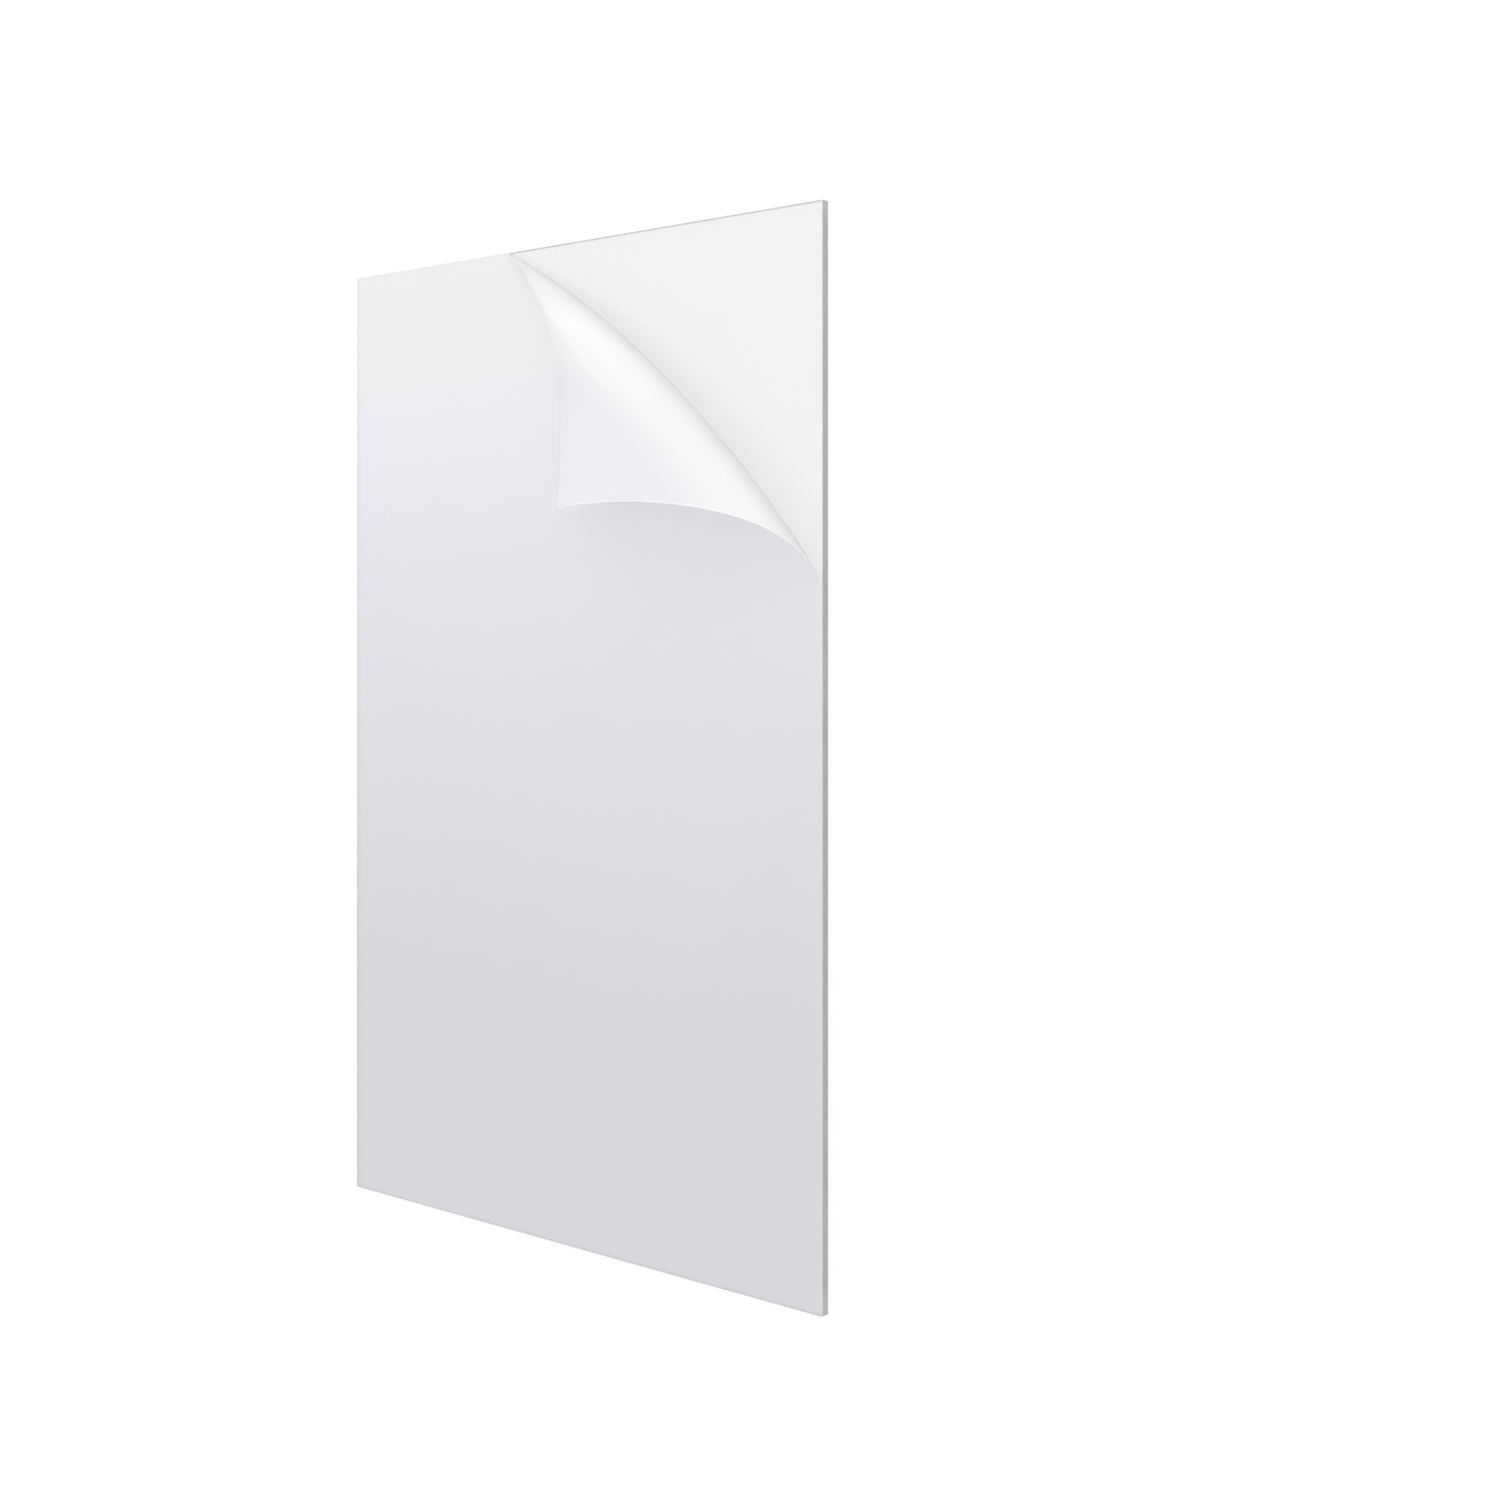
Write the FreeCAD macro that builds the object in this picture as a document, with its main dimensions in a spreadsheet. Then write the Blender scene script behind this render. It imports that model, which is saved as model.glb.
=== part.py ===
import FreeCAD, Part
import math
import os
import Sketcher
from FreeCAD import Vector

# Clear acrylic sheet whose masking film is peeled back at one corner.
# Millimetres. The origin is the centre of the sheet's bottom face, +X runs across
# the width, +Y along the length and +Z up to the masked face.
# The peeled corner is the one at +X, +Y.

SIZES = {
    # the slab
    "sheet_width": 304.8,
    "sheet_length": 457.2,
    "sheet_gauge": 4.0,
    # the film, and where its peel line starts, measured from the corner along each edge
    "film_gauge": 0.1,
    "peel_far": 190.8,
    "peel_side": 159.6,
    # how far the peel line bows towards the corner, and the power that sets how much nearer
    # to its far end it bows most
    "peel_bow": 6.2,
    "bow_fall": 1.6,
    # the roll: its largest radius, the powers that shape its growth from the far end and
    # from the side end, and the turn of its sections away from square to the peel line
    "roll_radius": 16.7,
    "roll_rise": 1.09,
    "roll_fall": 0.57,
    "roll_skew": 8.9,
    # the tip's height over the sheet, the lift of the film's edge at the far end as a share
    # of the roll's radius there, and the power that shapes the rise between the two
    "tip_height": 17.0,
    "far_lift": 0.15,
    "lift_rise": 1.55,
    # the most that the film turns back in degrees, the power that shapes how soon it does
    # from the far end, and its turn where it ends at the side
    "most_sweep": 250.0,
    "sweep_rise": 16.0,
    "side_sweep": 142.0,
}

# stations on the peel line, from each of its ends to the section through the tip
STATIONS = 12
END_FRACTION = 0.01
CROWDING = 1.6
# equal steps along each section's curve, from the peel line to the film's cut edge
SECTION_STEPS = 24
# the most of a section's length that its roll takes up
MOST_ROLLED = 0.985
# how sharply one limit takes over from another
ROLLED_EASE = 8
SWEEP_EASE = 24

doc = FreeCAD.newDocument("masked_acrylic_sheet")

sheet = doc.addObject("Spreadsheet::Sheet", "sizes")
for row, (alias, value) in enumerate(SIZES.items(), start=1):
    sheet.set(f"A{row}", alias)
    sheet.set(f"B{row}", str(value))
    sheet.setAlias(f"B{row}", alias)
doc.recompute()


def size(alias):
    """The value of one driving dimension, read from the spreadsheet."""
    return float(getattr(sheet, alias))


def origin_plane(body, role):
    for feature in body.Origin.OriginFeatures:
        if feature.Role == role:
            return feature
    raise ValueError(role)


def make_acrylic_sheet():
    """One flat slab, centred on the origin, with square cut edges."""
    body = doc.addObject("PartDesign::Body", "acrylic_sheet")
    body.Label = "acrylic_sheet"

    outline = body.newObject("Sketcher::SketchObject", "sheet_outline")
    outline.AttachmentSupport = [(origin_plane(body, "XY_Plane"), "")]
    outline.MapMode = "FlatFace"
    half_width = size("sheet_width") / 2
    half_length = size("sheet_length") / 2
    corners = [
        Vector(-half_width, -half_length, 0),
        Vector(half_width, -half_length, 0),
        Vector(half_width, half_length, 0),
        Vector(-half_width, half_length, 0),
    ]
    for start, end in zip(corners, corners[1:] + corners[:1]):
        outline.addGeometry(Part.LineSegment(start, end), False)
    for line in range(4):
        outline.addConstraint(Sketcher.Constraint("Coincident", line, 2, (line + 1) % 4, 1))
    for line, kind in enumerate(("Horizontal", "Vertical", "Horizontal", "Vertical")):
        outline.addConstraint(Sketcher.Constraint(kind, line))
    outline.addConstraint(Sketcher.Constraint("Symmetric", 0, 1, 2, 1, -1, 1))
    width = outline.addConstraint(Sketcher.Constraint("DistanceX", 0, 1, 0, 2, 2 * half_width))
    length = outline.addConstraint(Sketcher.Constraint("DistanceY", 1, 1, 1, 2, 2 * half_length))
    outline.setExpression(f"Constraints[{width}]", "sizes.sheet_width")
    outline.setExpression(f"Constraints[{length}]", "sizes.sheet_length")

    slab = body.newObject("PartDesign::Pad", "sheet_slab")
    slab.Profile = outline
    slab.setExpression("Length", "sizes.sheet_gauge")
    body.Tip = slab
    return body


def eased_least(first, second, sharpness):
    """The smaller of two lengths or angles, with a rounded change from one to the other."""
    return (first**-sharpness + second**-sharpness) ** (-1 / sharpness)


class Peel:
    """The peeled corner's geometry, worked out from the driving dimensions."""

    def __init__(self):
        self.corner = Vector(size("sheet_width") / 2, size("sheet_length") / 2, 0)
        self.far_end = self.corner - Vector(size("peel_far"), 0, 0)
        self.side_end = self.corner - Vector(0, size("peel_side"), 0)
        chord = self.side_end - self.far_end
        self.across = Vector(-chord.y, chord.x, 0).normalize()
        along = Vector(chord).normalize()
        skew = math.radians(size("roll_skew"))
        # sections run from the peel line towards the corner, turned by the skew
        self.direction = self.across * math.cos(skew) + along * math.sin(skew)
        self.tip_fraction = self.fraction_at_tip()

    def foot(self, fraction):
        """The point of the bowed peel line at a fraction of its chord."""
        chord_point = self.far_end + (self.side_end - self.far_end) * fraction
        fall = size("bow_fall")
        most = fall**fall / (1 + fall) ** (1 + fall)
        bow = size("peel_bow") * fraction * (1 - fraction) ** fall / most
        return chord_point + self.across * bow

    def fraction_at_tip(self):
        """Where the section passes through the film's corner, by halving."""
        low, high = 0.0, 1.0
        while high - low > 1e-9:
            middle = (low + high) / 2
            to_corner = self.corner - self.foot(middle)
            if self.direction.cross(to_corner).z > 0:
                high = middle
            else:
                low = middle
        return (low + high) / 2

    def length(self, fraction):
        """The flat film's length from the peel line to its cut edge."""
        room = self.corner - self.foot(fraction)
        return min(room.x / self.direction.x, room.y / self.direction.y)

    def radius(self, fraction):
        """The roll's radius, zero at both ends and roll_radius where it is largest."""
        rise, fall = size("roll_rise"), size("roll_fall")
        peak = rise / (rise + fall)
        largest = peak**rise * (1 - peak) ** fall
        return size("roll_radius") * fraction**rise * (1 - fraction) ** fall / largest

    def sweep_to_height(self, fraction, height):
        """The turn in radians that brings the film's cut edge to a height, by halving."""
        radius = self.radius(fraction)
        whole = self.length(fraction)
        low = math.pi / 2
        high = min(2 * math.pi, whole / radius)
        while high - low > 1e-9:
            middle = (low + high) / 2
            run = whole - radius * middle
            if radius * (1 - math.cos(middle)) + run * math.sin(middle) > height:
                low = middle
            else:
                high = middle
        return (low + high) / 2

    def sweep(self, fraction):
        """The roll's angle in radians.

        Up to the tip it grows until it lowers the film's edge to its height over the
        sheet, and from there it falls evenly to the side sweep.
        """
        tip = self.tip_fraction
        tip_share = size("tip_height") / self.radius(tip)
        along = min(fraction / tip, 1.0)
        share = size("far_lift") + (tip_share - size("far_lift")) * along ** size("lift_rise")
        reached = min(fraction, tip)
        most = math.radians(size("most_sweep")) * (1 - (1 - along) ** size("sweep_rise"))
        lowered = self.sweep_to_height(reached, self.radius(reached) * share)
        sweep = eased_least(lowered, most, SWEEP_EASE)
        past_tip = (fraction - reached) / (1 - tip)
        return sweep + (math.radians(size("side_sweep")) - sweep) * past_tip

    def section(self, fraction, flat, lift):
        """Points of a section, from the peel line to the film's cut edge.

        lift is 0 on the adhesive side and the film's gauge on the other side.
        A flat section is one that still lies on the sheet.
        """
        whole = self.length(fraction)
        radius = self.radius(fraction)
        rolled = eased_least(radius * self.sweep(fraction), whole * MOST_ROLLED, ROLLED_EASE)
        foot = self.foot(fraction) + Vector(0, 0, size("sheet_gauge"))
        points = []
        for step in range(SECTION_STEPS + 1):
            distance = whole * step / SECTION_STEPS
            if flat:
                turn, out, height = 0.0, distance, 0.0
            else:
                turn = min(distance, rolled) / radius
                run = max(distance - rolled, 0.0)
                out = radius * math.sin(turn) + run * math.cos(turn)
                height = radius * (1 - math.cos(turn)) + run * math.sin(turn)
            out -= lift * math.sin(turn)
            height += lift * math.cos(turn)
            points.append(foot + self.direction * out + Vector(0, 0, height))
        return points


def spline_through(points, parameters):
    curve = Part.BSplineCurve()
    curve.interpolate(Points=points, Parameters=parameters)
    return curve


def face_through(sections, fractions):
    """A smooth face through sections of as many points each, at their fractions.

    Faces made through the same points and fractions share that edge exactly.
    """
    steps = len(sections[0]) - 1
    shares = [step / steps for step in range(steps + 1)]
    curves = [spline_through(points, shares) for points in sections]
    rows = zip(*(curve.getPoles() for curve in curves))
    travel = [abs(fraction - fractions[0]) for fraction in fractions]
    lines = [spline_through(list(row), travel) for row in rows]
    surface = Part.BSplineSurface()
    surface.buildFromPolesMultsKnots(
        [line.getPoles() for line in lines],
        curves[0].getMultiplicities(),
        lines[0].getMultiplicities(),
        curves[0].getKnots(),
        lines[0].getKnots(),
        False,
        False,
        curves[0].Degree,
        lines[0].Degree,
    )
    return surface.toShape()


def edge_between(shape, start, end):
    """The edge of a shape that joins two points."""
    for edge in shape.Edges:
        ends = [edge.firstVertex().Point, edge.lastVertex().Point]
        for first, last in (ends, ends[::-1]):
            if first.distanceToPoint(start) < 1e-4 and last.distanceToPoint(end) < 1e-4:
                return edge
    raise ValueError("no edge between the points")


def curl_fractions(peel):
    """The stations of the curl's two halves, crowded towards the ends of the peel line."""
    halves = []
    for end in (END_FRACTION, 1 - END_FRACTION):
        shares = [(step / STATIONS) ** CROWDING for step in range(STATIONS + 1)]
        halves.append([end + (peel.tip_fraction - end) * share for share in shares])
    return halves


def film_side(peel, lift):
    """The sections of each half of the curl on one side of the film, and its faces."""
    level = Vector(0, 0, size("sheet_gauge") + lift)
    far, near = peel.corner, -peel.corner
    outline = [Vector(far.x, near.y, 0), near, Vector(near.x, far.y, 0)]
    halves = []
    curls = []
    inner = []
    for fractions in curl_fractions(peel):
        sections = [peel.section(f, step == 0, lift) for step, f in enumerate(fractions)]
        curl = face_through(sections, fractions)
        inner.append(edge_between(curl, sections[0][0], sections[0][-1]))
        inner.append(edge_between(curl, sections[0][0], sections[-1][0]))
        halves.append(sections)
        curls.append(curl)
    far_cut, near_cut = halves[0][0][-1], halves[1][0][-1]
    corners = [near_cut] + [point + level for point in outline] + [far_cut]
    cut = [Part.LineSegment(a, b).toShape() for a, b in zip(corners, corners[1:])]
    flat = Part.Face(Part.Wire(Part.__sortEdges__(inner + cut)))
    return halves, cut, [flat] + curls


def make_masking_film():
    """One thin film, flush with the slab's edges, curled back at its corner."""
    peel = Peel()
    gauge = size("film_gauge")
    lower_halves, cut, below = film_side(peel, 0.0)
    upper_halves, _, above = film_side(peel, gauge)
    rim = [edge.extrude(Vector(0, 0, gauge)) for edge in cut]
    for fractions, lower, upper in zip(curl_fractions(peel), lower_halves, upper_halves):
        ends = [[low[-1], high[-1]] for low, high in zip(lower, upper)]
        rim.append(face_through(ends, fractions))
    shell = Part.Compound(below + above + rim)
    shell.sewShape(1e-4)
    solid = Part.Solid(shell.Shells[0])
    if solid.Volume < 0:
        solid.reverse()

    film = doc.addObject("Part::Feature", "masking_film")
    film.Label = "masking_film"
    film.Shape = solid
    film.Placement = FreeCAD.Placement()
    return film


def check(parts):
    """Stop before anything is written if an object failed or a shape is bad."""
    for item in doc.Objects:
        if "Invalid" in item.State or "Error" in item.State:
            raise RuntimeError(f"{item.Name} failed")
    for part in parts:
        if part.Shape.isNull() or not part.Shape.isValid():
            raise RuntimeError(f"{part.Label} has no valid shape")


parts = [make_acrylic_sheet(), make_masking_film()]
doc.recompute()
check(parts)

os.makedirs("parts", exist_ok=True)
for part in parts:
    part.Shape.exportStep(os.path.join("parts", part.Label + ".step"))
    box = part.Shape.BoundBox
    print(part.Label, "solids", len(part.Shape.Solids), "volume", round(part.Shape.Volume, 1))
    print("  from", round(box.XMin, 2), round(box.YMin, 2), round(box.ZMin, 2))
    print("  to", round(box.XMax, 2), round(box.YMax, 2), round(box.ZMax, 2))
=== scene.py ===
import math

import bmesh
import bpy
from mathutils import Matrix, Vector


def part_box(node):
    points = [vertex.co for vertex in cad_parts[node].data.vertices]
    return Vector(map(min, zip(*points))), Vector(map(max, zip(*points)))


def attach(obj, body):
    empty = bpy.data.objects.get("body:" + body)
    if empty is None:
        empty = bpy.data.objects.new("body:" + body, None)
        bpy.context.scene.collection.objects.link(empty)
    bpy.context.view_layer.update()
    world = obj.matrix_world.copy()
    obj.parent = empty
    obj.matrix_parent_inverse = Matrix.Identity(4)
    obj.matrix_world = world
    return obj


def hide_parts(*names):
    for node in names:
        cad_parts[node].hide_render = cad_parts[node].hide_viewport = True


# A clear acrylic sheet lying flat, with its masking film peeled back at one corner.
# Metres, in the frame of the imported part: +X across, +Y along, +Z up from the floor.

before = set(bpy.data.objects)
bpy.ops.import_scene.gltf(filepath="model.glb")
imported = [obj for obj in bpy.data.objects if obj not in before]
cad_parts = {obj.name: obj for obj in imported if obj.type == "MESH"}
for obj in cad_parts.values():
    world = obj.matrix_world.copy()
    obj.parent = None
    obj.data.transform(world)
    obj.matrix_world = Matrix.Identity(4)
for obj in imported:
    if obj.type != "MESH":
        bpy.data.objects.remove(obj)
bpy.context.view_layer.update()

MM = 0.001

# the sheet
SHEET_LOW, SHEET_HIGH = (Vector(corner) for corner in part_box("acrylic_sheet"))
SHEET_WIDTH = SHEET_HIGH.x - SHEET_LOW.x
SHEET_LENGTH = SHEET_HIGH.y - SHEET_LOW.y
# the chamfer that scraping and polishing leave along each corner of its edges
ARRIS = 0.25 * MM

# the film, and the air under it that keeps its underside off the sheet's face
FILM_GAUGE = 0.08 * MM
FILM_LIFT = 0.02 * MM
FILM_LEVEL = SHEET_HIGH.z + FILM_LIFT

# the peeled corner, with the values that the part is built from
PEEL_FAR = 190.8 * MM
PEEL_SIDE = 159.6 * MM
PEEL_BOW = 6.2 * MM
BOW_FALL = 1.6
ROLL_RADIUS = 16.7 * MM
ROLL_RISE = 1.09
ROLL_FALL = 0.57
ROLL_SKEW = math.radians(8.9)
TIP_HEIGHT = 17.0 * MM
FAR_LIFT = 0.15
LIFT_RISE = 1.55
MOST_SWEEP = math.radians(250.0)
SWEEP_RISE = 16.0
SIDE_SWEEP = math.radians(142.0)
MOST_ROLLED = 0.985
ROLLED_EASE = 8
SWEEP_EASE = 24

# the curl's grid: columns along the peel line on each side of the tip, rows across it
STATIONS = 72
STEPS = 110
END_FRACTION = 0.004
CROWDING = 1.6
FLAT_MARGIN = 0.8 * MM
# how often a range is halved to find a place in it
HALVINGS = 40
# the length that one unit of the film's peel map stands for
PEEL_UNIT = 100 * MM

# the sheet's finishes, in the order of its material slots
CLEAR_FACE, SAWN_EDGE, PAINTED_HIGHLIGHT_ARRIS = range(3)
# how far a face's normal stands up, where the face is level and where it is upright
LEVEL, UPRIGHT = 0.99, 0.01


# working by hand: finishing one piece


def finish_modifier(piece, modifier):
    bpy.ops.object.select_all(action="DESELECT")
    piece.select_set(True)
    bpy.context.view_layer.objects.active = piece
    bpy.ops.object.modifier_apply(modifier=modifier.name)


# the clear sheet


def make_acrylic_panel(finishes):
    """The slab at its size and place, with a fine chamfer along every corner.

    Its edges and chamfers are sawn, apart from the chamfers of the right edge, which carry a
    near-white finish as a painted highlight.
    """
    bpy.ops.object.select_all(action="DESELECT")
    bpy.ops.mesh.primitive_cube_add(size=1, location=(SHEET_LOW + SHEET_HIGH) / 2)
    panel = bpy.context.object
    panel.name = "acrylic_panel"
    panel.scale = SHEET_HIGH - SHEET_LOW
    bpy.ops.object.transform_apply(location=True, rotation=True, scale=True)
    bpy.ops.object.mode_set(mode="EDIT")
    bpy.ops.mesh.select_all(action="SELECT")
    bpy.ops.mesh.bevel(offset=ARRIS, segments=1, affect="EDGES")
    bpy.ops.object.mode_set(mode="OBJECT")
    for face in panel.data.polygons:
        across, along, up = (abs(value) for value in face.normal)
        if up > LEVEL:
            face.material_index = CLEAR_FACE
        elif up < UPRIGHT or along > across or face.normal.x < 0:
            face.material_index = SAWN_EDGE
        else:
            # painted highlight: the right edge's chamfers get a near-white finish
            face.material_index = PAINTED_HIGHLIGHT_ARRIS
    for finish in finishes:
        panel.data.materials.append(finish)
    return panel


# the film's curl


def eased_least(first, second, sharpness):
    """The smaller of two lengths or angles, with a rounded change from one to the other."""
    return (first**-sharpness + second**-sharpness) ** (-1 / sharpness)


def halved(low, high, is_short):
    """Where a test between two numbers stops being true, by halving."""
    for _ in range(HALVINGS):
        middle = (low + high) / 2
        if is_short(middle):
            low = middle
        else:
            high = middle
    return (low + high) / 2


CORNER = Vector((SHEET_WIDTH / 2, SHEET_LENGTH / 2))
FAR_END = CORNER - Vector((PEEL_FAR, 0))
SIDE_END = CORNER - Vector((0, PEEL_SIDE))
CHORD = SIDE_END - FAR_END
ALONG = CHORD.normalized()
ACROSS = Vector((-ALONG.y, ALONG.x))
DIRECTION = ACROSS * math.cos(ROLL_SKEW) + ALONG * math.sin(ROLL_SKEW)


def foot(fraction):
    """The point of the bowed peel line at a fraction of its chord."""
    most = BOW_FALL**BOW_FALL / (1 + BOW_FALL) ** (1 + BOW_FALL)
    bow = PEEL_BOW * fraction * (1 - fraction) ** BOW_FALL / most
    return FAR_END + CHORD * fraction + ACROSS * bow


def meets_far_edge(fraction):
    """Whether the section there ends on the film's far edge, and not on its right one."""
    room = CORNER - foot(fraction)
    return DIRECTION.x * room.y - DIRECTION.y * room.x <= 0


# where the section passes through the film's corner
TIP = halved(0.0, 1.0, meets_far_edge)


def section_length(fraction):
    """The flat film's length from the peel line to its cut edge."""
    room = CORNER - foot(fraction)
    return min(room.x / DIRECTION.x, room.y / DIRECTION.y)


def roll_radius(fraction):
    """The roll's radius, which grows from nothing and closes again along the peel line."""
    peak = ROLL_RISE / (ROLL_RISE + ROLL_FALL)
    largest = peak**ROLL_RISE * (1 - peak) ** ROLL_FALL
    return ROLL_RADIUS * fraction**ROLL_RISE * (1 - fraction) ** ROLL_FALL / largest


def sweep_to_height(fraction, height):
    """The turn that brings the film's cut edge down to a height above the sheet."""
    radius = roll_radius(fraction)
    whole = section_length(fraction)

    def is_higher(turn):
        run = whole - radius * turn
        return radius * (1 - math.cos(turn)) + run * math.sin(turn) > height

    return halved(math.pi / 2, min(2 * math.pi, whole / radius), is_higher)


def sweep(fraction):
    """The roll's angle: it grows up to the tip, and falls evenly from there to the side."""
    tip_share = TIP_HEIGHT / roll_radius(TIP)
    along = min(fraction / TIP, 1.0)
    share = FAR_LIFT + (tip_share - FAR_LIFT) * along**LIFT_RISE
    reached = min(fraction, TIP)
    most = MOST_SWEEP * (1 - (1 - along) ** SWEEP_RISE)
    lowered = sweep_to_height(reached, roll_radius(reached) * share)
    turned = eased_least(lowered, most, SWEEP_EASE)
    past_tip = (fraction - reached) / (1 - TIP)
    return turned + (SIDE_SWEEP - turned) * past_tip


def curled(fraction, distance, rolled, radius):
    """Where a point of the film's adhesive side comes to lie."""
    turn = min(distance, rolled) / radius
    run = max(distance - rolled, 0.0)
    out = radius * math.sin(turn) + run * math.cos(turn)
    height = radius * (1 - math.cos(turn)) + run * math.sin(turn)
    spot = foot(fraction) + DIRECTION * out
    return Vector((spot.x, spot.y, FILM_LEVEL + height))


def station_fractions():
    """Fractions of the peel line, closer together towards its ends, one of them the tip."""
    shares = [(step / STATIONS) ** CROWDING for step in range(STATIONS + 1)]
    last = 1 - END_FRACTION
    far_half = [END_FRACTION + (TIP - END_FRACTION) * share for share in shares]
    near_half = [last + (TIP - last) * share for share in shares]
    return far_half + near_half[-2::-1]


def grid_columns(work, count):
    """The grid's vertices as columns across the peel line, each from its flat end outwards."""
    columns = [[] for _ in range(count)]
    for vertex in work.verts:
        columns[round((vertex.co.x + 0.5) * (count - 1))].append(vertex)
    for column in columns:
        column.sort(key=lambda vertex: vertex.co.y)
    return columns


def shape_curl(fractions, columns):
    """Moves the grid into the curl.

    Returns where each vertex lies on the flat film, and where on the peel map.
    """
    flat_place = {}
    peel_place = {}
    for number, (fraction, column) in enumerate(zip(fractions, columns)):
        whole = section_length(fraction)
        radius = roll_radius(fraction)
        rolled = eased_least(radius * sweep(fraction), whole * MOST_ROLLED, ROLLED_EASE)
        at_end = number in (0, len(fractions) - 1)
        for row, vertex in enumerate(column):
            distance = whole * (row - 1) / STEPS if row else -FLAT_MARGIN
            flat = foot(fraction) + DIRECTION * distance
            flat_place[vertex] = flat
            peel_place[vertex] = (max(distance, 0.0) / PEEL_UNIT, fraction)
            if row == 0 or at_end:
                vertex.co = Vector((flat.x, flat.y, FILM_LEVEL))
            else:
                vertex.co = curled(fraction, distance, rolled, radius)
    return flat_place, peel_place


def add_flat_face(work, columns, flat_place):
    """The rest of the film, as one face that shares the curl's edge along the peel line."""
    outline = [(CORNER.x, -CORNER.y), (-CORNER.x, -CORNER.y), (-CORNER.x, CORNER.y)]
    corners = [work.verts.new((x, y, FILM_LEVEL)) for x, y in outline]
    flat_place.update((corner, corner.co.xy) for corner in corners)
    peel_edge = columns[0][::-1] + [column[0] for column in columns[1:-1]] + columns[-1]
    flat_face = work.faces.new(peel_edge + corners)
    flat_face.normal_update()
    return flat_face


def write_maps(work, flat_face, flat_place, peel_place):
    """Two maps: the flat film over the unit square, and the curl by its peel line."""
    flat_map = work.loops.layers.uv.verify()
    peel_map = work.loops.layers.uv.new("peel")
    for face in work.faces:
        for loop in face.loops:
            flat = flat_place[loop.vert]
            loop[flat_map].uv = (flat.x / SHEET_WIDTH + 0.5, flat.y / SHEET_LENGTH + 0.5)
            if face is not flat_face:
                loop[peel_map].uv = peel_place[loop.vert]


def make_masking_film(face_finish, adhesive_finish):
    """One thin film: a grid for the curl, a flat face for the rest, then its gauge."""
    fractions = station_fractions()
    bpy.ops.object.select_all(action="DESELECT")
    bpy.ops.mesh.primitive_grid_add(
        x_subdivisions=len(fractions) - 1, y_subdivisions=STEPS + 1, size=1
    )
    film = bpy.context.object
    film.name = "masking_film_sheet"
    work = bmesh.new()
    work.from_mesh(film.data)
    columns = grid_columns(work, len(fractions))
    flat_place, peel_place = shape_curl(fractions, columns)
    flat_face = add_flat_face(work, columns, flat_place)
    for face in work.faces:
        face.smooth = face is not flat_face
    write_maps(work, flat_face, flat_place, peel_place)
    bmesh.ops.recalc_face_normals(work, faces=work.faces)
    if flat_face.normal.z < 0:
        bmesh.ops.reverse_faces(work, faces=work.faces)
    bmesh.ops.triangulate(work, faces=[flat_face])
    work.to_mesh(film.data)
    work.free()
    film.data.uv_layers[0].name = "flat"

    gauge = film.modifiers.new("gauge", "SOLIDIFY")
    gauge.thickness = FILM_GAUGE
    gauge.offset = 1
    gauge.use_even_offset = True
    gauge.material_offset = 1
    gauge.material_offset_rim = 1
    film.data.materials.append(face_finish)
    film.data.materials.append(adhesive_finish)
    finish_modifier(film, gauge)
    return film


# nodes

WHITE = (1.0, 1.0, 1.0)


def new_material(name):
    material = bpy.data.materials.new(name)
    material.use_nodes = True
    tree = material.node_tree
    tree.nodes.clear()
    return material, tree


def feed(tree, source, target):
    """Gives a socket another node's output, or a plain value."""
    if isinstance(source, bpy.types.NodeSocket):
        tree.links.new(source, target)
    else:
        target.default_value = source


def add_node(tree, kind, **values):
    """A node with its settings, and its sockets fed where the name is a socket's."""
    node = tree.nodes.new(kind)
    for name, value in values.items():
        if hasattr(node, name):
            setattr(node, name, value)
        else:
            feed(tree, value, node.inputs[name.replace("_", " ")])
    return node


def reckon(tree, operation, *sources):
    """The result of a Math node on outputs and plain numbers."""
    node = add_node(tree, "ShaderNodeMath", operation=operation)
    for source, target in zip(sources, node.inputs):
        feed(tree, source, target)
    return node.outputs[0]


def range_share(tree, source, start, end, most=1.0):
    """0 to most as a value goes from a start to an end, and held there past them."""
    share = add_node(tree, "ShaderNodeMapRange", Value=source)
    share.inputs["From Min"].default_value = start
    share.inputs["From Max"].default_value = end
    share.inputs["To Max"].default_value = most
    return share.outputs["Result"]


def tint_ramp(tree, source, stops):
    """A colour that goes through stops, each a place of the source and its tint."""
    ramp = add_node(tree, "ShaderNodeValToRGB", Fac=source)
    elements = ramp.color_ramp.elements
    for number, (position, tint) in enumerate(stops):
        stop = elements[number] if number < len(elements) else elements.new(position)
        stop.position = position
        stop.color = (*tint, 1)
    return ramp.outputs["Color"]


def mix_shaders(tree, share, first, second):
    """The first shader where the share is 0, and the second where it is 1."""
    mix = add_node(tree, "ShaderNodeMixShader")
    for source, target in zip((share, first, second), mix.inputs):
        feed(tree, source, target)
    return mix.outputs[0]


def see_through(tree, tint):
    """A shader that lets rays straight on, dimmed to a tint."""
    return add_node(tree, "ShaderNodeBsdfTransparent", Color=(*tint, 1)).outputs[0]


def carries_light(tree):
    """1 for rays that gather light for a matt surface, and 0 for those that show a view."""
    path = add_node(tree, "ShaderNodeLightPath")
    return reckon(tree, "MAXIMUM", path.outputs["Is Shadow Ray"], path.outputs["Is Diffuse Ray"])


def is_inside(tree):
    """1 where a ray meets a surface from within the piece, and 0 from outside."""
    return add_node(tree, "ShaderNodeNewGeometry").outputs["Backfacing"]


# the acrylic's finishes

ACRYLIC_IOR = 1.49


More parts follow.
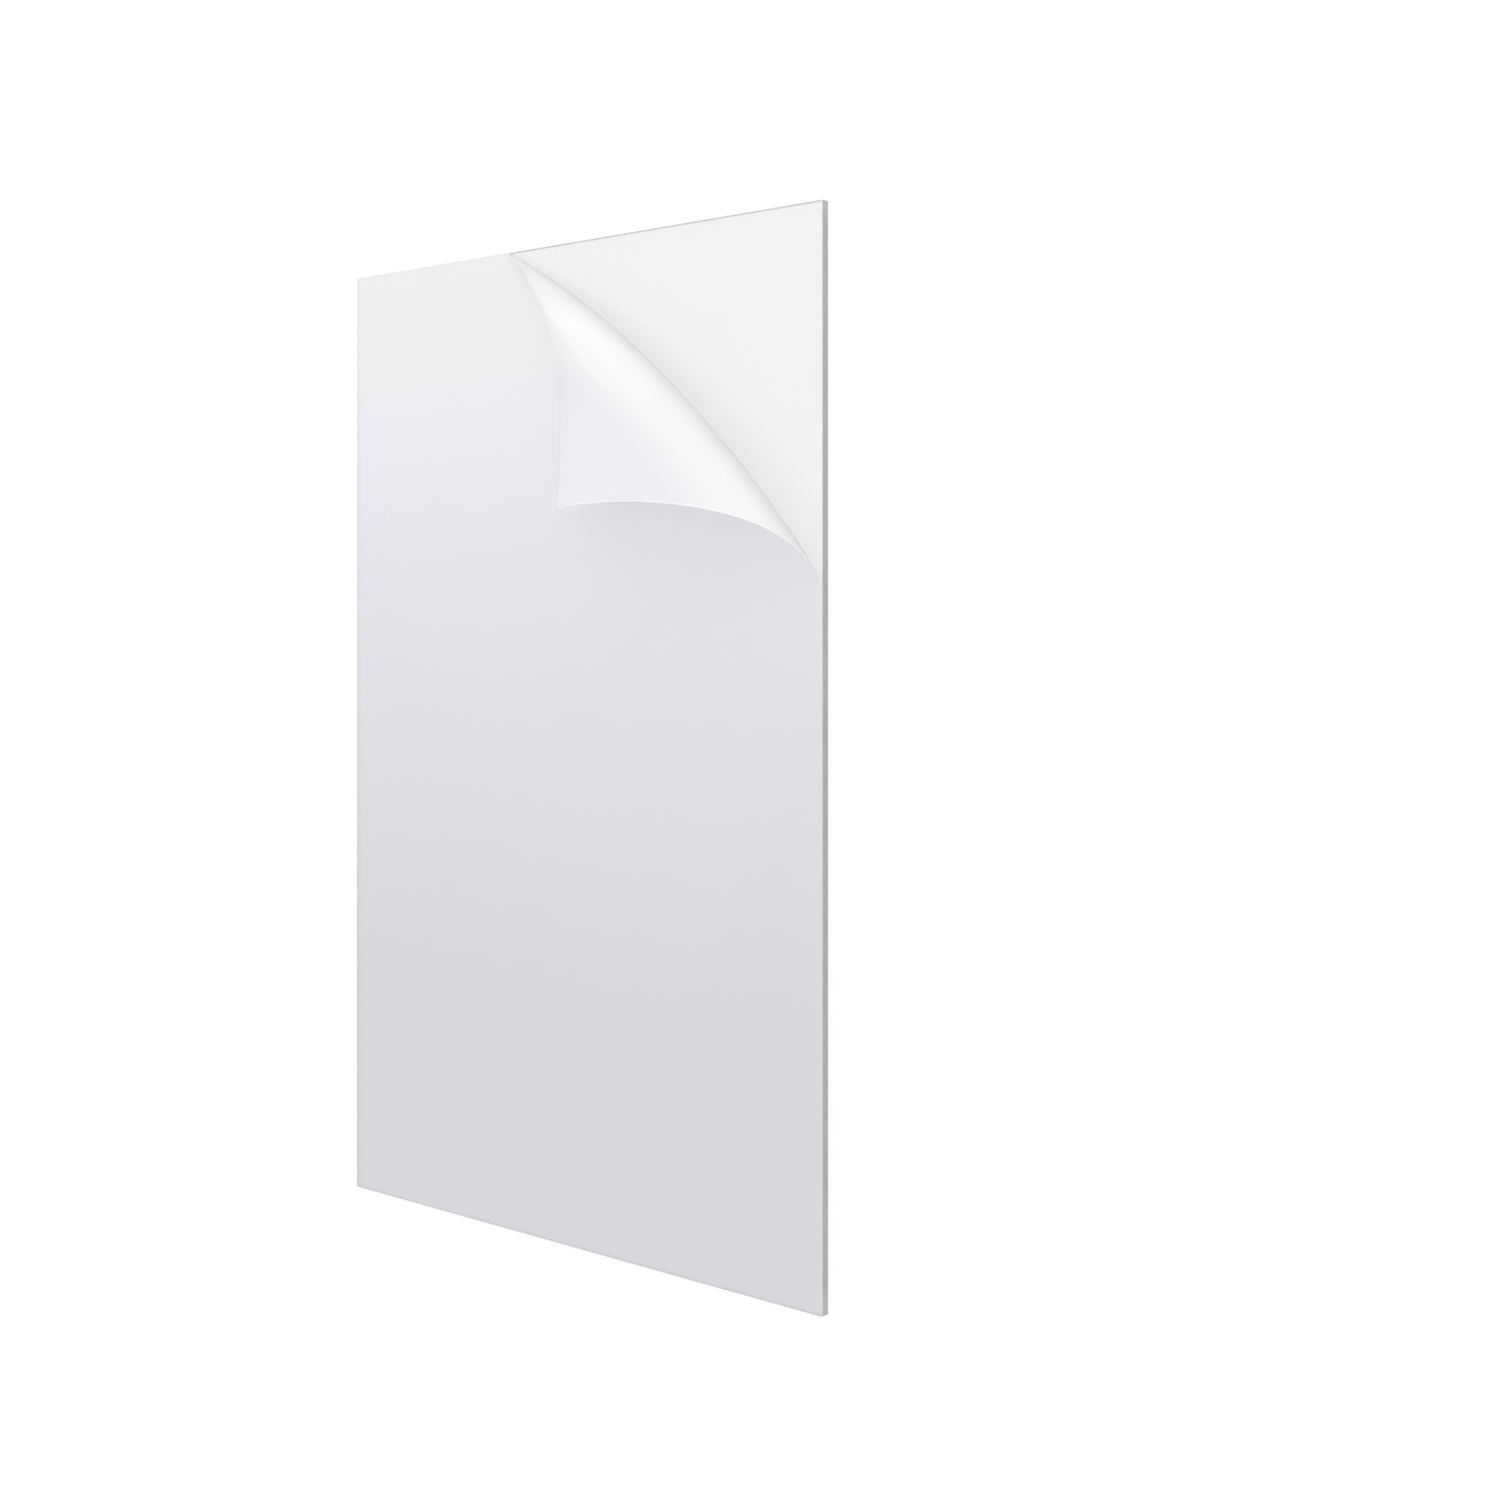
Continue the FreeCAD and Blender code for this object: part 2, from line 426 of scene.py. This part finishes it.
def clear_acrylic():
    """Clear, polished cast acrylic, with the slight waviness of a cast face."""
    material, tree = new_material("clear_acrylic")
    place = add_node(tree, "ShaderNodeTexCoord").outputs["Object"]
    waves = add_node(tree, "ShaderNodeTexNoise", Scale=22.0, Detail=1.0, Vector=place)
    relief = add_node(
        tree, "ShaderNodeBump", Strength=0.12, Distance=0.2 * MM, Height=waves.outputs["Fac"]
    )
    body = add_node(
        tree,
        "ShaderNodeBsdfPrincipled",
        Base_Color=(0.885, 0.885, 0.885, 1),
        Roughness=0.0,
        IOR=ACRYLIC_IOR,
        Transmission_Weight=1.0,
        Normal=relief.outputs[0],
    )
    shadow = see_through(tree, (0.96, 0.96, 0.96))
    lit = mix_shaders(tree, carries_light(tree), body.outputs[0], shadow)
    add_node(tree, "ShaderNodeOutputMaterial", Surface=lit)
    return material


def edge_acrylic(name, dark, light, roughness, transmission, inside_clearness, shadow_tint):
    """A worked edge: grey and half frosted, with fine marks along the cut.

    Seen from within, through the clear faces, it shows part of what lies beyond it.
    """
    material, tree = new_material(name)
    place = add_node(tree, "ShaderNodeTexCoord").outputs["Object"]
    stretch = add_node(tree, "ShaderNodeMapping", Vector=place)
    stretch.inputs["Scale"].default_value = (160, 160, 2600)
    marks = add_node(
        tree, "ShaderNodeTexNoise", Scale=1.0, Detail=3.0, Vector=stretch.outputs[0]
    )
    relief = add_node(
        tree, "ShaderNodeBump", Strength=0.15, Distance=0.1 * MM, Height=marks.outputs["Fac"]
    )
    body = add_node(
        tree,
        "ShaderNodeBsdfPrincipled",
        Base_Color=tint_ramp(tree, marks.outputs["Fac"], [(0.3, dark), (0.7, light)]),
        Roughness=roughness,
        IOR=ACRYLIC_IOR,
        Transmission_Weight=transmission,
        Normal=relief.outputs[0],
    )
    from_within = reckon(tree, "MULTIPLY", is_inside(tree), inside_clearness)
    seen = mix_shaders(tree, from_within, body.outputs[0], see_through(tree, WHITE))
    lit = mix_shaders(tree, carries_light(tree), seen, see_through(tree, shadow_tint))
    add_node(tree, "ShaderNodeOutputMaterial", Surface=lit)
    return material


# the film's finishes

FILM_IOR = 1.5
FILM_ROUGHNESS = 0.45
# the share of the light that it lets by to what lies under it
SHADOW_CLEARNESS = 0.58
# the painted rim of shade or highlight along its cut edges, and the part of it next to the edge
# that has its full tint
PAINTED_RIM_WIDTH = 1.0 * MM
PAINTED_RIM_FULL = 0.3


def from_edge(tree, across, place, size):
    """Metres from a cut edge of the flat film, which lies at 0 or 1 on its map."""
    return range_share(tree, across, place, 1 - place, size)


def painted_rim_share(tree, flat, along, corner, most, fade):
    """The painted rim's part in the tint, as painted shade or highlight: most on the two cut
    edges that meet at a corner of the flat film, 0 from its width inwards, and fading along a
    map's axis.
    """
    across = from_edge(tree, flat.outputs["X"], corner, SHEET_WIDTH)
    lengthwise = from_edge(tree, flat.outputs["Y"], corner, SHEET_LENGTH)
    nearest = reckon(tree, "MINIMUM", across, lengthwise)
    share = range_share(tree, nearest, PAINTED_RIM_WIDTH, PAINTED_RIM_FULL * PAINTED_RIM_WIDTH, most)
    return reckon(tree, "MULTIPLY", share, range_share(tree, along, *fade))


def map_axes(tree, map_name):
    place = add_node(tree, "ShaderNodeUVMap", uv_map=map_name)
    return add_node(tree, "ShaderNodeSeparateXYZ", Vector=place.outputs[0])


def film_material(name, map_name, axis, tints, rim, gloss, clearness, glow_share):
    """Thin translucent satin film, with its tints and painted light along one axis of one of its
    maps, and a painted rim of shade or highlight along its cut edges.

    The side that a ray leaves by adds nothing, so the closed film acts as one thin sheet,
    and it lets most of the lamp's light through to what lies under it.
    """
    material, tree = new_material(name)
    own = map_axes(tree, map_name)
    flat = map_axes(tree, "flat")
    painted_rim_part = painted_rim_share(
        tree, flat, own.outputs["Y"], rim["corner"], rim["most"], rim["fade"]
    )
    tint = add_node(
        tree,
        "ShaderNodeMix",
        data_type="RGBA",
        Factor=painted_rim_part,
        A=tint_ramp(tree, own.outputs[axis], tints),
        B=(*rim["tint"], 1),
    )
    place = add_node(tree, "ShaderNodeTexCoord").outputs["Object"]
    ripples = add_node(tree, "ShaderNodeTexNoise", Scale=90.0, Detail=2.0, Vector=place)
    relief = add_node(
        tree, "ShaderNodeBump", Strength=0.1, Distance=0.1 * MM, Height=ripples.outputs["Fac"]
    )
    body = add_node(
        tree,
        "ShaderNodeBsdfPrincipled",
        Base_Color=tint.outputs["Result"],
        Roughness=FILM_ROUGHNESS,
        IOR=FILM_IOR,
        Specular_IOR_Level=gloss,
        Normal=relief.outputs[0],
    )
    glow = add_node(tree, "ShaderNodeBsdfTranslucent", Color=tint.outputs["Result"])
    lit = mix_shaders(tree, glow_share, body.outputs[0], glow.outputs[0])
    let_by = reckon(
        tree, "MULTIPLY_ADD", carries_light(tree), SHADOW_CLEARNESS - clearness, clearness
    )
    share = reckon(tree, "MAXIMUM", let_by, is_inside(tree))
    add_node(
        tree,
        "ShaderNodeOutputMaterial",
        Surface=mix_shaders(tree, share, lit, see_through(tree, WHITE)),
    )
    return material


# the masked face, from the near end to the far end: the film's lavender tint, with painted light
# that makes it lighter and neutral towards the far end, and painted shade along its left and
# near edges that fades out towards the far end
FACE_TINTS_AND_PAINTED_LIGHT = [
    (0.25, (0.694, 0.685, 0.730)),
    (0.5, (0.760, 0.750, 0.799)),
    (0.85, (0.866, 0.855, 0.911)),
    (0.91, (0.878, 0.878, 0.878)),
]
FACE_PAINTED_SHADE_RIM = {"tint": (0.45, 0.44, 0.47), "corner": 0, "most": 0.35, "fade": (1.0, 0.3)}
# the adhesive side, from the peel line outwards: painted shade near the peel line, a painted
# highlight band over the roll's top, then the film's lavender tint, with a painted highlight
# along its free edges from a little way past the curl's start
ADHESIVE_TINTS_AND_PAINTED_LIGHT = [
    (0.0, (0.740, 0.740, 0.740)),
    (0.3, (0.960, 0.960, 0.960)),
    (0.45, (0.920, 0.920, 0.920)),
    (0.6, (0.843, 0.832, 0.886)),
]
CURL_PAINTED_HIGHLIGHT_RIM = {"tint": (0.97, 0.97, 0.98), "corner": 1, "most": 1.0, "fade": (0.02, 0.12)}


# pieces

panel = make_acrylic_panel(
    [
        clear_acrylic(),
        edge_acrylic(
            "sawn_edge",
            dark=(0.46, 0.46, 0.465),
            light=(0.54, 0.54, 0.545),
            roughness=0.32,
            transmission=0.15,
            inside_clearness=0.35,
            shadow_tint=(0.85, 0.85, 0.85),
        ),
        # the right edge's chamfers, near white: a painted highlight along that edge
        edge_acrylic(
            "painted_highlight_arris",
            dark=(0.9, 0.9, 0.9),
            light=WHITE,
            roughness=0.3,
            transmission=0.25,
            inside_clearness=0.8,
            shadow_tint=(0.9, 0.9, 0.9),
        ),
    ]
)
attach(panel, "root")
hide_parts("acrylic_sheet")

film = make_masking_film(
    film_material(
        "film_face",
        map_name="flat",
        axis="Y",
        tints=FACE_TINTS_AND_PAINTED_LIGHT,
        rim=FACE_PAINTED_SHADE_RIM,
        gloss=0.5,
        clearness=0.15,
        glow_share=0.1,
    ),
    film_material(
        "film_adhesive_side",
        map_name="peel",
        axis="X",
        tints=ADHESIVE_TINTS_AND_PAINTED_LIGHT,
        rim=CURL_PAINTED_HIGHLIGHT_RIM,
        gloss=0.75,
        clearness=0.06,
        glow_share=0.06,
    ),
)
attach(film, "root")
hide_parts("masking_film")


# the stage: a white floor and surround, one soft lamp and the camera

FLOOR_SIZE = 30.0
FLOOR_GAP = 0.2 * MM
# what the eye sees of the floor: mostly a glow, and a part that the lamp and surround light
FLOOR_GLOW = 0.77
FLOOR_SHADED = 0.24

LAMP_PLACE = Vector((-0.02, 0.96, 0.62))
LAMP_AIM = Vector((0.03, 0.15, 0.02))
LAMP_WIDTH = 1.3
LAMP_DEPTH = 0.45
LAMP_POWER = 1.4

# the camera looks down at 48 degrees from the right edge's side, with the far end up
PHOTO_WIDTH = 1500
CAMERA_PLACE = Vector((713.07, 55.51, 677.20)) * MM
CAMERA_TILT = math.radians(41.72)
FOCAL_PIXELS = 2140.36
HORIZON_ROW = 622.5
SENSOR = 36.0


def surround_share(tree):
    """1 for rays that see the stage directly, in gloss or through the clear sheet."""
    path = add_node(tree, "ShaderNodeLightPath")
    in_view = reckon(
        tree, "MAXIMUM", path.outputs["Is Camera Ray"], path.outputs["Is Glossy Ray"]
    )
    return reckon(tree, "MAXIMUM", in_view, path.outputs["Is Transmission Ray"])


def white_floor():
    """White to the eye, with the part's shadow kept on it."""
    material, tree = new_material("studio_floor")
    ground = add_node(tree, "ShaderNodeBsdfDiffuse", Color=(0.8, 0.8, 0.8, 1))
    shaded_tint = (FLOOR_SHADED, FLOOR_SHADED, FLOOR_SHADED, 1)
    shaded = add_node(tree, "ShaderNodeBsdfDiffuse", Color=shaded_tint)
    glow = add_node(tree, "ShaderNodeEmission", Strength=FLOOR_GLOW)
    seen = add_node(tree, "ShaderNodeAddShader")
    feed(tree, shaded.outputs[0], seen.inputs[0])
    feed(tree, glow.outputs[0], seen.inputs[1])
    floor_shader = mix_shaders(tree, surround_share(tree), ground.outputs[0], seen.outputs[0])
    add_node(tree, "ShaderNodeOutputMaterial", Surface=floor_shader)
    return material


def make_floor():
    bpy.ops.object.select_all(action="DESELECT")
    bpy.ops.mesh.primitive_plane_add(size=FLOOR_SIZE, location=(0, 0, -FLOOR_GAP))
    floor = bpy.context.object
    floor.name = "studio_floor"
    floor.data.materials.append(white_floor())
    return floor


def make_surround():
    world = bpy.data.worlds.new("studio_world")
    world.use_nodes = True
    tree = world.node_tree
    tree.nodes.clear()
    surround = add_node(tree, "ShaderNodeBackground", Strength=1.0, Color=(*WHITE, 1))
    add_node(tree, "ShaderNodeOutputWorld", Surface=surround.outputs[0])
    return world


def add_far_softbox():
    """A soft lamp, kept out of mirror images: gloss and glass show the white surround."""
    data = bpy.data.lights.new("far_softbox", "AREA")
    data.shape = "RECTANGLE"
    data.size = LAMP_WIDTH
    data.size_y = LAMP_DEPTH
    data.energy = LAMP_POWER
    lamp = bpy.data.objects.new("far_softbox", data)
    bpy.context.scene.collection.objects.link(lamp)
    lamp.visible_glossy = False
    lamp.visible_transmission = False
    lamp.location = LAMP_PLACE
    lamp.rotation_euler = (LAMP_AIM - LAMP_PLACE).to_track_quat("-Z", "Y").to_euler()


def add_camera():
    data = bpy.data.cameras.new("camera")
    data.sensor_width = SENSOR
    data.lens = FOCAL_PIXELS / PHOTO_WIDTH * SENSOR
    data.shift_y = (HORIZON_ROW - PHOTO_WIDTH / 2) / PHOTO_WIDTH
    camera = bpy.data.objects.new("camera", data)
    bpy.context.scene.collection.objects.link(camera)
    camera.location = CAMERA_PLACE
    camera.rotation_euler = (0, CAMERA_TILT, 0)
    return camera


make_floor()
bpy.context.scene.world = make_surround()
add_far_softbox()
bpy.context.scene.camera = add_camera()
bpy.context.scene.view_settings.view_transform = "Standard"
